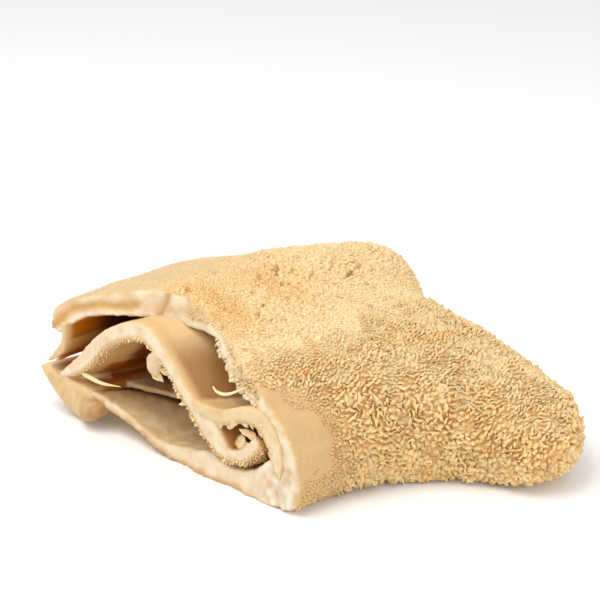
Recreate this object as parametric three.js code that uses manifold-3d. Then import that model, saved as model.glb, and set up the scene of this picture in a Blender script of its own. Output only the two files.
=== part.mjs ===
import * as THREE from "three";
import { mergeVertices } from "three/addons/utils/BufferGeometryUtils.js";
import Module from "manifold-3d";

// A piece of beef tripe, folded over on itself and cut across at one end. Millimetres, Z up.
// It lies on its flat underside. The cut end faces the front left and shows the folded layers.
//
// Places in the fold are given by three numbers:
//   across  mm along the cut end, from its front corner to its back left corner
//   height  mm above the table, as it is at the cut end
//   depth   0 at the cut end, 1 at the far rounded end

// the cut end
const cutTurn = THREE.MathUtils.degToRad(42);   // how far the cut end is turned to the left
const cutCorner = [-5, -76.3];                  // front corner of the cut end, on the table
const cutWidth = 168;
const frontBulge = 5;                           // how far the front fold bulges past the corner
const topSetback = [0, 2, 6, 12, 18, 20, 20, 17, 12, 6, 0];   // how far the top layer is cut back
const setbackGone = 0.5;                        // depth by which that has evened out

// the far rounded end, from its front corner round to its back corner
const farEnd = [
  [104, -60], [119, -57], [130, -42], [131, -20], [119, 4], [101, 28],
  [84, 54], [70, 78], [66, 98], [59, 117], [44, 135],
];
const farEndStart = 0.8;                        // depth where the far end starts to round off
const frontHollow = 20;                         // how far the front side curves in
const backBelly = 22;                           // how far the back side curves out
const farEndRound = 2.4;                        // how square the far end is: 2 is an ellipse

// heights of the folded edges: at the cut end and at the far end, each front then back
const edgeAtCut = [20, 44];
const edgeAtFarEnd = [17, 30];
const leftLift = 16;                            // how far the back left corner lifts off the table
const leftLiftFrom = 0.38;                      // part of the way across where the lift starts
const leftLiftRun = 0.5;                        // and how much further it is complete
const leftLiftGone = 0.4;                       // depth by which it is back on the table
const pressedFlat = 1.2;                        // what the table presses flat, underneath

// how square the cross-section is: 2 is an ellipse
const topRound = 2.1;
const topRoundMoreAtBack = 1.6;                 // added towards the cut end's back left corner
const bottomRoundAtCut = 7;
const bottomRoundInside = 3.4;

// heights of the top at a few places: x, y, height
const topSpots = [
  [-62, 2, 81], [-100, 30, 71], [-122, 45, 63], [-20, -50, 60], [-38, -22, 72],
  [33, 85, 81], [-15, 85, 82], [-65, 68, 83], [-5, 40, 74], [-100, 60, 70],
  [15, 8, 64], [38, 28, 57], [66, 55, 53], [85, 20, 53], [98, -5, 48],
  [112, -20, 38], [103, -42, 37], [60, -20, 56], [20, -35, 60],
];
const topBlend = 24;                            // how far each of them spreads
const creaseFrom = [-10, 26];                   // a soft crease between the two humps of the top
const creaseTo = [78, 84];
const creaseDeep = 5;
const creaseWide = 9;
const creaseFull = 0.6;                         // part of the way along it where it is full depth

// the hollow between the top and bottom layers, at even steps across from front to back
const hollowAcross = [10, 160];
const hollowRoof = [27, 44, 49, 55, 65, 66, 64, 61, 54, 51, 42];
const hollowFloor = [26, 14, 10, 12.5, 9, 8, 10.5, 16, 19, 19, 24];
const hollowDeep = 0.55;
const hollowMiddle = 0.45;                      // where between floor and roof it closes
const hollowRound = 2.2;
const hollowFrom = -0.2;                        // the cut starts in front of the cut end

// the inner layers, each a strip given by its middle line (across, height) and its thicknesses
const innerLayer = {
  line: [
    [158, 21], [148, 27], [137, 36], [124, 49], [110, 58], [97, 62], [87, 59], [76, 49],
    [66, 38], [58, 29], [50, 21.5], [43, 17], [35, 17], [27, 21], [19, 30],
  ],
  thick: [3, 7, 9, 9, 9, 9, 8, 7.5, 7, 7, 7, 7, 7, 7, 7],
  depth: [0, 0.58],
};
const upperBranch = {
  line: [[62, 35], [51, 34.5], [42, 35], [34, 38.5], [26, 41], [18, 40], [11, 33], [8, 24]],
  thick: [5, 7, 8, 8, 9, 9, 9, 9],
  depth: [0, 0.58],
};
const thinLeaf = {
  line: [[149, 23], [136, 21], [120, 18.5], [104, 17.5], [88, 20], [78, 26]],
  thick: [1.5, 2.5, 2.5, 2.5, 3, 3],
  depth: [0.05, 0.58],
};
const leftLeaf = {
  line: [[157, 52], [158, 44], [161, 36], [165, 31], [171, 26]],
  thick: [6, 5, 4.5, 4, 1.5],
  depth: [0, 0.17],
};
const bottomTip = {
  line: [[134, 16.5], [147, 17], [160, 18.5], [168, 21.3], [173, 22]],
  thick: [6, 5, 4.5, 3.5, 1.5],
  depth: [0, 0.17],
};
const leftSlit = {   // the gap between the two tips, cut out
  line: [[154, 25], [162, 24.6], [170, 24.4], [180, 24.6]],
  thick: [3, 5, 2.6, 1.5],
  depth: [-0.05, 0.12],
};

const backFold = 160;                           // across of the back fold
const tipTaper = 0.8;                           // how much the tips past it draw in, further in

// the leaf that hangs from the bottom layer's left tip, at even steps from its rolled end to its tip
const hangAcross = [124, 173];
const hangTop = [15, 15.5, 16.5, 18, 20, 22];
const hangLow = [10, 2.5, 1.8, 4.5, 12, 20];
const hangThick = 7;
const hangBulge = 3;

// a small lump under the inner layer
const lumpAt = [87, 50, 0.04];
const lumpSize = [9, 9, 13];

// relief of the small papillae on the outside, and the raggedness of the cut edges
const papillaHigh = 1.5;
const papillaSeed = 7;
const ragged = 1.4;

const bodyColumns = 46;
const bodyRows = 30;
const straightRows = 0.75;                      // share of the rows before the far end rounds off

const cream = 0xe6c690;

function smooth(t) {
  const x = THREE.MathUtils.clamp(t, 0, 1);
  return x * x * (3 - 2 * x);
}

function mix(a, b, t) {
  return a + (b - a) * t;
}

// a value at t (0 to 1) on a smooth line through evenly spaced values
function through(values, t) {
  const last = values.length - 1;
  const x = THREE.MathUtils.clamp(t, 0, 1) * last;
  const i = Math.min(Math.floor(x), last - 1);
  const f = x - i;
  const b = values[i];
  const c = values[i + 1];
  const a = i > 0 ? values[i - 1] : 2 * b - c;
  const d = i < last - 1 ? values[i + 2] : 2 * c - b;
  const bend = 2 * a - 5 * b + 4 * c - d;
  const twist = 3 * b - a - 3 * c + d;
  return 0.5 * (2 * b + (c - a) * f + bend * f ** 2 + twist * f ** 3);
}

// rounded fall from 1 to 0 as t goes from 0 to 1
function roundOff(t, power) {
  return Math.max(0, 1 - Math.abs(t) ** power) ** (1 / power);
}

function farEndFall(depth) {
  return depth <= farEndStart ? 1 : roundOff((depth - farEndStart) / (1 - farEndStart), farEndRound);
}

// plan position; part is 0 at the front fold and 1 at the back fold
function planAt(part, depth, setback) {
  const q = -frontBulge + cutWidth * part;
  const inX = Math.sin(cutTurn);
  const inY = Math.cos(cutTurn);
  const back = setback * Math.max(0, 1 - Math.max(depth, 0) / setbackGone);
  const cutX = cutCorner[0] - inY * q;
  const cutY = cutCorner[1] + inX * q;
  const farX = through(farEnd.map((p) => p[0]), part);
  const farY = through(farEnd.map((p) => p[1]), part);
  const bow = 4 * Math.max(depth, 0) * (1 - depth);
  const bend = frontHollow * (1 - smooth(part / 0.45)) + backBelly * smooth((part - 0.5) / 0.5);
  return [mix(cutX, farX, depth) + inX * back, mix(cutY, farY, depth) + inY * back + bow * bend];
}

function creaseAt(x, y) {
  const dx = creaseTo[0] - creaseFrom[0];
  const dy = creaseTo[1] - creaseFrom[1];
  const long = Math.hypot(dx, dy);
  const on = ((x - creaseFrom[0]) * dx + (y - creaseFrom[1]) * dy) / long ** 2;
  const off = ((x - creaseFrom[0]) * dy - (y - creaseFrom[1]) * dx) / long;
  return creaseDeep * Math.exp(-(off * off) / (2 * creaseWide ** 2)) * smooth(on / creaseFull);
}

function crownAt(x, y) {
  let weight = 0;
  let sum = 0;
  for (const [sx, sy, high] of topSpots) {
    const near = Math.exp(-((x - sx) ** 2 + (y - sy) ** 2) / (2 * topBlend ** 2)) + 1e-6;
    weight += near;
    sum += near * high;
  }
  return sum / weight - creaseAt(x, y);
}

function edgeAt(part, depth) {
  const d = Math.max(depth, 0);
  return mix(mix(edgeAtCut[0], edgeAtCut[1], part), mix(edgeAtFarEnd[0], edgeAtFarEnd[1], part), d);
}

function topAt(part, depth, x, y) {
  const edge = edgeAt(part, depth);
  const nearBack = smooth((part - 0.5) / 0.5) * (1 - smooth(depth / setbackGone));
  const square = topRound + topRoundMoreAtBack * nearBack;
  return edge + (crownAt(x, y) - edge) * roundOff(2 * part - 1, square) * farEndFall(depth);
}

function bottomAt(part, depth) {
  const edge = edgeAt(part, depth);
  const inwards = Math.min(1, Math.max(depth, 0) / leftLiftGone);
  const lift = leftLift * smooth((part - leftLiftFrom) / leftLiftRun) * (1 - inwards) ** 2;
  const square = mix(bottomRoundAtCut, bottomRoundInside, inwards);
  const fall = (edge + pressedFlat - lift) * roundOff(2 * part - 1, square) * farEndFall(depth);
  return Math.max(0, edge - fall);
}

// a point of the fold; deeper in, heights follow the top and bottom as they close in
function foldPoint(across, height, depth) {
  const part = THREE.MathUtils.clamp((across + frontBulge) / cutWidth, -0.08, 1.15);
  const inside = THREE.MathUtils.clamp(part, 0.02, 0.98);
  const at = planAt(inside, depth, 0);
  const beyond = (part - inside) * cutWidth;
  const x = at[0] - Math.cos(cutTurn) * beyond;
  const y = at[1] + Math.sin(cutTurn) * beyond;
  if (depth <= 0) {
    return [x, y, height];
  }
  const start = planAt(inside, 0, 0);
  const floor = bottomAt(inside, 0);
  const roof = topAt(inside, 0, ...start);
  const share = (height - floor) / (roof - floor);
  return [x, y, mix(bottomAt(inside, depth), topAt(inside, depth, ...at), share)];
}

// seeded random number from 0 to 1 for a place in a grid
function chance(i, j) {
  const n = Math.sin(i * 127.1 + j * 311.7 + papillaSeed * 74.7) * 43758.5453;
  return n - Math.floor(n);
}

// a box whose points (each number from 0 to 1) are moved to where place puts them
function mapped(across, high, deep, place) {
  const box = new THREE.BoxGeometry(1, 1, 1, across, high, deep);
  box.deleteAttribute("normal");
  box.deleteAttribute("uv");
  const geometry = mergeVertices(box, 1e-5);
  const at = geometry.attributes.position;
  for (let i = 0; i < at.count; i += 1) {
    at.setXYZ(i, ...place(at.getX(i) + 0.5, at.getY(i) + 0.5, at.getZ(i) + 0.5));
  }
  return geometry;
}

const wasm = await Module();
wasm.setup();

function solidOf(geometry) {
  const corners = new Uint32Array(geometry.index.array);
  const make = () => new wasm.Manifold(new wasm.Mesh({
    numProp: 3,
    vertProperties: new Float32Array(geometry.attributes.position.array),
    triVerts: corners,
  }));
  const solid = make();
  if (solid.volume() > 0) {
    return solid;
  }
  corners.reverse();
  return make();
}

// height of the relief at a place in the body's grid; every third point is a raised nub
function reliefAt(column, row, part, depth) {
  const bareBack = 1 - 0.6 * smooth((part - 0.55) / 0.2) * (1 - smooth((depth - 0.3) / 0.2));
  const awayFromEdges = smooth(depth / 0.08) * smooth((1 - depth) / 0.04) * roundOff(2 * part - 1, 6);
  const nub = ((column + 2 * row) % 3 ? -0.1 : 1) + (chance(column, row) - 0.5) * 0.8;
  return papillaHigh * awayFromEdges * bareBack * nub;
}

// the whole folded body, without its hollow; its rows are closer together at the far end
function foldedBody() {
  return solidOf(mapped(bodyColumns, 1, bodyRows, (u, h, w) => {
    const column = Math.round(u * bodyColumns);
    const row = Math.round(w * bodyRows);
    const part = (1 - Math.cos(Math.PI * u)) / 2;
    const roundPart = (w - straightRows) / (1 - straightRows);
    const depth = roundPart < 0
      ? (w / straightRows) * farEndStart
      : farEndStart + (1 - farEndStart) * Math.sin((Math.PI / 2) * roundPart);
    const onTop = h > 0.5;
    const uneven = depth === 0 ? ragged * chance(column, onTop ? 1 : 2) : 0;
    const [x, y] = planAt(part, depth, (onTop ? through(topSetback, part) : 0) + uneven);
    const height = onTop
      ? topAt(part, depth, x, y) + reliefAt(column, row, part, depth)
      : bottomAt(part, depth);
    return [x, y, height];
  }));
}

// the hollow, open at the cut end and closing further in
function hollow() {
  const closeAt = (depth) => roundOff(Math.max(depth, 0) / hollowDeep, hollowRound);
  return solidOf(mapped(30, 1, 10, (u, h, w) => {
    const depth = mix(hollowFrom, hollowDeep, w);
    const side = (1 - Math.cos(Math.PI * u)) / 2;
    const across = mix(hollowAcross[0], hollowAcross[1], side);
    const roof = through(hollowRoof, side);
    const floor = through(hollowFloor, side);
    const middle = mix(floor, roof, hollowMiddle);
    const height = mix(middle, h > 0.5 ? roof : floor, closeAt(depth));
    return foldPoint(across, height, depth);
  }));
}

// a layer that follows its middle line; a level one keeps its heights as it goes in, and what
// stands out past the back fold draws in towards it
function strip(layer, steps, rows, level) {
  const lineAt = (t) => [
    through(layer.line.map((p) => p[0]), t),
    through(layer.line.map((p) => p[1]), t),
  ];
  return solidOf(mapped(steps, 1, rows, (u, h, w) => {
    const [across, height] = lineAt(u);
    const before = lineAt(u - 0.01);
    const after = lineAt(u + 0.01);
    const long = Math.hypot(after[0] - before[0], after[1] - before[1]);
    const off = (h - 0.5) * through(layer.thick, u);
    const offAcross = -off * (after[1] - before[1]) / long;
    const offHeight = off * (after[0] - before[0]) / long;
    const uneven = w === 0 ? 0.006 * ragged * chance(Math.round(u * steps), 3) : 0;
    const depth = mix(layer.depth[0], layer.depth[1], w) + uneven;
    const drawnIn = level ? Math.max(0, across - backFold) * tipTaper * w : 0;
    const [x, y, z] = foldPoint(across + offAcross - drawnIn, height + offHeight, depth);
    return [x, y, level ? height + offHeight : z];
  }));
}

// the hanging leaf bulges outwards between its upper and lower edges
function hangingLeaf() {
  return solidOf(mapped(16, 5, 1, (u, h, w) => {
    const across = mix(hangAcross[0], hangAcross[1], u);
    const height = mix(through(hangLow, u), through(hangTop, u), h);
    const bulge = hangBulge * Math.sin(Math.PI * h);
    const back = hangThick * (w - 0.2) * (1 - 0.6 * u) - bulge;
    const [x, y] = foldPoint(across, height, 0);
    return [x + Math.sin(cutTurn) * back, y + Math.cos(cutTurn) * back, height];
  }));
}

function lump() {
  const ball = new THREE.SphereGeometry(0.5, 10, 8);
  ball.deleteAttribute("normal");
  ball.deleteAttribute("uv");
  ball.scale(...lumpSize);
  ball.translate(...foldPoint(...lumpAt));
  return solidOf(mergeVertices(ball, 1e-4));
}

const layers = [
  foldedBody().subtract(hollow()).subtract(strip(leftSlit, 6, 2, true)),
  strip(innerLayer, 36, 6, false),
  strip(upperBranch, 16, 5, false),
  strip(thinLeaf, 10, 4, false),
  strip(leftLeaf, 8, 3, true),
  strip(bottomTip, 8, 3, true),
  hangingLeaf(),
  lump(),
];
const whole = layers.reduce((sum, layer) => sum.add(layer));

function geometryOf(solid) {
  const mesh = solid.getMesh();
  const geometry = new THREE.BufferGeometry();
  geometry.setAttribute("position", new THREE.BufferAttribute(mesh.vertProperties, 3));
  geometry.setIndex(new THREE.BufferAttribute(mesh.triVerts, 1));
  geometry.computeVertexNormals();
  return geometry;
}

const tripe = new THREE.Mesh(
  geometryOf(whole),
  new THREE.MeshStandardMaterial({ color: cream, roughness: 0.6, metalness: 0 }),
);
tripe.name = "tripe";

// the origin is at the middle of the underside
tripe.geometry.computeBoundingBox();
const low = tripe.geometry.boundingBox.min;
const high = tripe.geometry.boundingBox.max;
tripe.position.set(-(low.x + high.x) / 2, -(low.y + high.y) / 2, -low.z);

const part = new THREE.Group();
part.add(tripe);

export default part;
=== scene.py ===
import math

import bmesh
import bpy
import numpy as np
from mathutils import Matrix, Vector
from mathutils.bvhtree import BVHTree


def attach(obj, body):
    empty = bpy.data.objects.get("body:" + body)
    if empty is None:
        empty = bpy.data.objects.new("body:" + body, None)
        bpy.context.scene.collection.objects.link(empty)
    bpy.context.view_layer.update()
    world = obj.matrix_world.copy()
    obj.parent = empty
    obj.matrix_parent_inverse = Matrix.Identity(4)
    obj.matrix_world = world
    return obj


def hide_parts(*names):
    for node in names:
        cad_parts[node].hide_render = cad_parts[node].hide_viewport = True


# Folded beef tripe. Sizes are in millimetres up to the moment a mesh is written, which is in metres.
# Places in the fold are three numbers: across (mm along the cut end, from its front corner), height
# (mm at the cut end) and depth (0 at the cut end, 1 at the far rounded end). The part is the same as
# across, counted from 0 at the front to 1 at the back.

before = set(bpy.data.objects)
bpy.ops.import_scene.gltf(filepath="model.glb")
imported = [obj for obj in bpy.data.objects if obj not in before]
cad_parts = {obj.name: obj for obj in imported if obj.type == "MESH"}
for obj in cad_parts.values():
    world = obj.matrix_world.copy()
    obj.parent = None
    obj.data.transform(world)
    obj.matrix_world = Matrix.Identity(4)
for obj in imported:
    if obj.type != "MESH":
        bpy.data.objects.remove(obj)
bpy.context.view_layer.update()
mm = 0.001

fold = {
    "cutTurn": math.radians(42),
    "cutCorner": (-5.0, -76.3),
    "cutWidth": 168.0,
    "partReach": (-0.08, 1.15),         # how far the inner layers may pass the sheet's sides
    "partInside": (0.02, 0.98),
    "frontBulge": 5.0,
    "topSetback": (0, 2, 6, 12, 18, 20, 20, 17, 12, 6, 0),
    "setbackGone": 0.5,
    "farEnd": ((104, -60), (119, -57), (130, -42), (131, -20), (119, 4), (101, 28),
               (84, 54), (70, 78), (66, 98), (59, 117), (44, 135)),
    "farEndStart": 0.8,
    "frontHollow": 20.0,
    "frontHollowTo": 0.45,
    "backBelly": 22.0,
    "farEndRound": 2.4,
    "edgeAtCut": (20, 44),
    "edgeAtFarEnd": (17, 30),
    "leftLift": 16.0,
    "leftLiftFrom": 0.38,
    "leftLiftRun": 0.5,
    "leftLiftGone": 0.4,
    "pressedFlat": 1.2,
    "topRound": 2.1,
    "topRoundMoreAtBack": 1.6,
    "bottomRoundAtCut": 7.0,
    "bottomRoundInside": 3.4,
    "topSpots": ((-62, 2, 81), (-100, 30, 71), (-122, 45, 63), (-20, -50, 60), (-38, -22, 72),
                 (33, 85, 81), (-15, 85, 82), (-65, 68, 83), (-5, 40, 74), (-100, 60, 70),
                 (15, 8, 64), (38, 28, 57), (66, 55, 53), (85, 20, 53), (98, -5, 48),
                 (112, -20, 38), (103, -42, 37), (60, -20, 56), (20, -35, 60)),
    "topBlend": 24.0,
    "creaseFrom": (-10, 26),
    "creaseTo": (78, 84),
    "creaseDeep": 5.0,
    "creaseWide": 9.0,
    "creaseFull": 0.6,
    "toPart": (1.94, -27.81, 0.0),      # from the fold's own axes to the part's origin
}
inX, inY = math.sin(fold["cutTurn"]), math.cos(fold["cutTurn"])      # straight in from the cut end

hollowShape = {
    "across": (10, 160),
    "roof": (27, 44, 49, 55, 65, 66, 64, 61.5, 58.5, 54, 42),
    "floor": (26, 14, 10, 12.5, 9, 8, 10.5, 16, 19, 19, 24),
    "deep": 0.55,
    "middle": 0.45,
    "round": 2.2,
    "from": -0.2,
}


def smooth(t):
    t = np.clip(t, 0, 1)
    return t * t * (3 - 2 * t)


def mix(a, b, t):
    return a + (b - a) * t


def rise(values, start, run):      # from 0 at start to 1 a run further on
    return smooth((values - start) / run)


def riseAbout(values, middle, run):
    return smooth((values - middle) / run + 0.5)


def bump(values, middle, wide):      # 1 at the middle, falling to 0 within about two widths
    return np.exp(-((values - middle) / wide) ** 2)


def eased(t):      # even steps that crowd at both ends
    return (1 - np.cos(np.pi * t)) / 2


def through(values, t):      # a smooth line through evenly spaced values, at t from 0 to 1
    values = np.asarray(values, float)
    last = len(values) - 1
    x = np.clip(t, 0, 1) * last
    i = np.minimum(np.floor(x).astype(int), last - 1)
    f = x - i
    longer = np.concatenate([[2 * values[0] - values[1]], values, [2 * values[-1] - values[-2]]])
    a, b, c, d = longer[i], longer[i + 1], longer[i + 2], longer[i + 3]
    bend = 2 * a - 5 * b + 4 * c - d
    twist = 3 * b - a - 3 * c + d
    return 0.5 * (2 * b + (c - a) * f + bend * f ** 2 + twist * f ** 3)


def roundOff(t, power):
    return np.maximum(0, 1 - np.abs(t) ** power) ** (1 / power)


def softNoise(points, size, seed):      # smooth noise from -1 to 1 in lumps about size across
    at = np.asarray(points, float) / size
    cell = np.floor(at)
    f = at - cell
    f = f * f * (3 - 2 * f)
    total = np.zeros(len(at))
    for corner in np.ndindex(2, 2, 2):
        share = np.where(corner, f, 1 - f)
        i, j, k = (cell + corner).T
        chance = np.sin(i * 127.1 + j * 311.7 + k * 74.7 + seed * 53.3) * 43758.5453
        total += share[:, 0] * share[:, 1] * share[:, 2] * (chance - np.floor(chance))
    return 2 * total - 1


def lineNoise(values, size, seed):
    values = np.asarray(values, float)
    flat = np.zeros((values.size, 3))
    flat[:, 0] = values.ravel()
    return softNoise(flat, size, seed).reshape(values.shape)


def planAt(part, depth, setback):
    along = -fold["frontBulge"] + fold["cutWidth"] * part
    inwards = np.maximum(depth, 0)
    back = setback * np.maximum(0, 1 - inwards / fold["setbackGone"])
    farX, farY = (through(line, part) for line in zip(*fold["farEnd"]))
    bow = 4 * inwards * (1 - depth)
    bend = fold["frontHollow"] * (1 - smooth(part / fold["frontHollowTo"]))
    bend = bend + fold["backBelly"] * rise(part, 0.5, 0.5)
    x = mix(fold["cutCorner"][0] - inY * along, farX, depth) + inX * back
    y = mix(fold["cutCorner"][1] + inX * along, farY, depth) + inY * back + bow * bend
    return x, y


def crownAt(x, y):      # how high the top lies, from the spots around, less the crease
    weight = total = 0
    for spotX, spotY, high in fold["topSpots"]:
        near = np.exp(-((x - spotX) ** 2 + (y - spotY) ** 2) / (2 * fold["topBlend"] ** 2)) + 1e-6
        weight = weight + near
        total = total + near * high
    (fromX, fromY), (toX, toY) = fold["creaseFrom"], fold["creaseTo"]
    dx, dy = toX - fromX, toY - fromY
    long = math.hypot(dx, dy)
    on = ((x - fromX) * dx + (y - fromY) * dy) / long ** 2
    off = ((x - fromX) * dy - (y - fromY) * dx) / long
    beside = np.exp(-off * off / (2 * fold["creaseWide"] ** 2))
    return total / weight - fold["creaseDeep"] * beside * smooth(on / fold["creaseFull"])


def edgeAt(part, depth):
    return mix(mix(*fold["edgeAtCut"], part), mix(*fold["edgeAtFarEnd"], part), np.maximum(depth, 0))


def farEndFall(depth):
    past = np.clip((depth - fold["farEndStart"]) / (1 - fold["farEndStart"]), 0, 1)
    return roundOff(past, fold["farEndRound"])


def topAt(part, depth, x, y):
    edge = edgeAt(part, depth)
    nearBack = rise(part, 0.5, 0.5) * (1 - smooth(depth / fold["setbackGone"]))
    square = fold["topRound"] + fold["topRoundMoreAtBack"] * nearBack
    return edge + (crownAt(x, y) - edge) * roundOff(2 * part - 1, square) * farEndFall(depth)


def bottomAt(part, depth):
    edge = edgeAt(part, depth)
    inwards = np.minimum(1, np.maximum(depth, 0) / fold["leftLiftGone"])
    lift = fold["leftLift"] * rise(part, fold["leftLiftFrom"], fold["leftLiftRun"]) * (1 - inwards) ** 2
    square = mix(fold["bottomRoundAtCut"], fold["bottomRoundInside"], inwards)
    fall = (edge + fold["pressedFlat"] - lift) * roundOff(2 * part - 1, square) * farEndFall(depth)
    return np.maximum(0, edge - fall)


def foldPoint(across, height, depth):
    part = np.clip((across + fold["frontBulge"]) / fold["cutWidth"], *fold["partReach"])
    inside = np.clip(part, *fold["partInside"])
    atX, atY = planAt(inside, depth, 0)
    beyond = (part - inside) * fold["cutWidth"]
    atCut = 0 * depth
    floor = bottomAt(inside, atCut)
    roof = topAt(inside, atCut, *planAt(inside, atCut, 0))
    share = (height - floor) / (roof - floor)
    deeper = mix(bottomAt(inside, depth), topAt(inside, depth, atX, atY), share)
    return atX - inY * beyond, atY + inX * beyond, np.where(depth <= 0, height, deeper)


def toPart(x, y, z):
    return np.stack([x, y, z], -1) + fold["toPart"]


# Meshes

def readOut(items, name):
    values = np.zeros(len(items) * 3, np.float32)
    items.foreach_get(name, values)
    return values.reshape(-1, 3).astype(float)


def coordsOf(mesh):      # in millimetres
    return readOut(mesh.vertices, "co") / mm


def setCoords(mesh, points):
    mesh.vertices.foreach_set("co", (np.asarray(points) * mm).astype(np.float32).ravel())
    mesh.update()


def normalsOf(mesh):
    return readOut(mesh.vertex_normals, "vector")


def newObject(name, data):
    made = bpy.data.objects.new(name, data)
    bpy.context.scene.collection.objects.link(made)
    return made


def meshFrom(bm, name):
    mesh = bpy.data.meshes.new(name)
    bm.to_mesh(mesh)
    bm.free()
    return mesh


def outwards(bm):      # a closed shell whose faces point in is turned inside out
    bmesh.ops.recalc_face_normals(bm, faces=bm.faces)
    if bm.calc_volume(signed=True) < 0:
        bmesh.ops.reverse_faces(bm, faces=bm.faces)


# A closed box of columns x rows cells whose points (each number from 0 to 1) go where place puts them.
# It keeps those numbers, so that a point of a finished surface can be traced back to them.
def mappedBox(name, columns, rows, place, layers=1):
    bm = bmesh.new()
    bmesh.ops.create_grid(bm, x_segments=columns, y_segments=rows, size=0.5)
    bmesh.ops.translate(bm, verts=bm.verts, vec=(0.5, 0.5, 0))
    sheet = bm.faces[:]
    for layer in range(layers):
        made = bmesh.ops.extrude_face_region(bm, geom=sheet)["geom"]
        raised = [v for v in made if isinstance(v, bmesh.types.BMVert)]
        sheet = [f for f in made if isinstance(f, bmesh.types.BMFace)]
        bmesh.ops.translate(bm, verts=raised, vec=(0, 0, 1 / layers))
    u, w, h = np.array([v.co[:] for v in bm.verts]).T
    points = toPart(*place(u, h, w))
    for v, point in zip(bm.verts, points * mm):
        v.co = point
    outwards(bm)
    return {"object": newObject(name, meshFrom(bm, name)), "uhw": np.stack([u, h, w], 1), "points": points}


def applied(obj):
    depsgraph = bpy.context.evaluated_depsgraph_get()
    mesh = bpy.data.meshes.new_from_object(obj.evaluated_get(depsgraph), depsgraph=depsgraph)
    obj.modifiers.clear()
    old = obj.data
    obj.data = mesh
    bpy.data.meshes.remove(old)
    return obj


def cutAway(obj, tool):
    modifier = obj.modifiers.new("cut", "BOOLEAN")
    modifier.operation = "DIFFERENCE"
    modifier.solver = "MANIFOLD"
    modifier.object = tool
    return applied(obj)


def joined(name, objects):
    bm = bmesh.new()
    for obj in objects:
        bm.from_mesh(obj.data)
    return newObject(name, meshFrom(bm, name))


def remeshed(obj, voxel, softenings):
    modifier = obj.modifiers.new("remesh", "REMESH")
    modifier.mode = "VOXEL"
    modifier.voxel_size = voxel * mm
    modifier.use_smooth_shade = True
    applied(obj)
    bm = bmesh.new()
    bm.from_mesh(obj.data)
    axes = {"use_axis_x": True, "use_axis_y": True, "use_axis_z": True}
    for turn in range(softenings):
        bmesh.ops.smooth_vert(bm, verts=bm.verts, factor=0.5, **axes)
    bm.to_mesh(obj.data)
    bm.free()
    obj.data.update()


def drop(*objects):
    for obj in objects:
        mesh = obj.data
        bpy.data.objects.remove(obj)
        bpy.data.meshes.remove(mesh)


# the nearest place of each point on a mapped box: its distance, its three numbers and if it is at the cut
def traced(source, points):
    quads = np.array([p.vertices[:] for p in source["object"].data.polygons])
    tree = BVHTree.FromPolygons([Vector(p) for p in source["points"]], quads.tolist())
    found = [tree.find_nearest(Vector(p)) for p in points]
    places = np.array([f[0][:] for f in found])
    faces = quads[[f[2] for f in found]]
    near = 1 / (((source["points"][faces] - places[:, None, :]) ** 2).sum(-1) + 1e-3)
    near /= near.sum(1, keepdims=True)
    whole = source["uhw"][faces]
    atCut = (whole[:, :, 2] < 1e-6).all(1)
    return np.array([f[3] for f in found]), (whole * near[:, :, None]).sum(1), atCut


# Outer sheet

outer = {
    "cells": (200, 170),
    "straightRows": 0.75,
    "voxel": 1.29,
    "softenings": 2,
    "hollowCells": (130, 90),
    "ragged": 0.9,          # how uneven the cut edge is
    "raggedSize": 4.0,
    "lumps": 0.7,           # soft unevenness of the whole surface
    "lumpSize": 16.0,
    "cutGrain": 0.25,
    "grainSize": 1.8,
    "rimBumps": 0.8,
    "fibreStretch": (1.3, 1.3, 0.7),
    "fibresTo": (20, 24),       # across and height of the fibrous corner
    "wall": 9.0,            # how thick the sheet is at the cut
    "wrinkleAt": 98.0,
    # the groove is sunk, and its ochre is painted shade
    "rimFoldAt": 111.0,     # the cut's ochre groove starts here
    "grooveDeep": 0.9,
    "wrinkleDeep": 2.2,
    "slitDeep": 1.6,
    # the pits are sunk, and their dark is painted shade
    "pitSize": 1.7,         # small dark pits between the nubs on top
    "pitStretch": (1, 0.5, 1),
    "pitFrom": 0.52,
}


def rowDepth(w):
    start, straight = fold["farEndStart"], outer["straightRows"]
    past = np.clip((w - straight) / (1 - straight), 0, 1)
    return np.where(w < straight, w / straight * start, start + (1 - start) * np.sin(np.pi / 2 * past))


def bodyPlace(u, h, w):
    part, depth, onTop = eased(u), rowDepth(w), h > 0.5
    along = part * fold["cutWidth"] + 400 * onTop
    uneven = lineNoise(along, outer["raggedSize"], 3) + 0.5 * lineNoise(along, outer["raggedSize"] / 2.5, 4)
    nearCut = (1 - smooth(depth / 0.05)) * smooth(part / 0.08) * smooth((1 - part) / 0.08)
    setback = np.where(onTop, through(fold["topSetback"], part), 0) + outer["ragged"] * uneven * nearCut
    x, y = planAt(part, depth, setback)
    return x, y, np.where(onTop, topAt(part, depth, x, y), bottomAt(part, depth))


def hollowPlace(u, h, w):
    depth = mix(hollowShape["from"], hollowShape["deep"], w)
    roof, floor = (through(hollowShape[name], eased(u)) for name in ("roof", "floor"))
    opened = roundOff(np.maximum(depth, 0) / hollowShape["deep"], hollowShape["round"])
    height = mix(mix(floor, roof, hollowShape["middle"]), np.where(h > 0.5, roof, floor), opened)
    return foldPoint(mix(*hollowShape["across"], eased(u)), height, depth)


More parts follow.
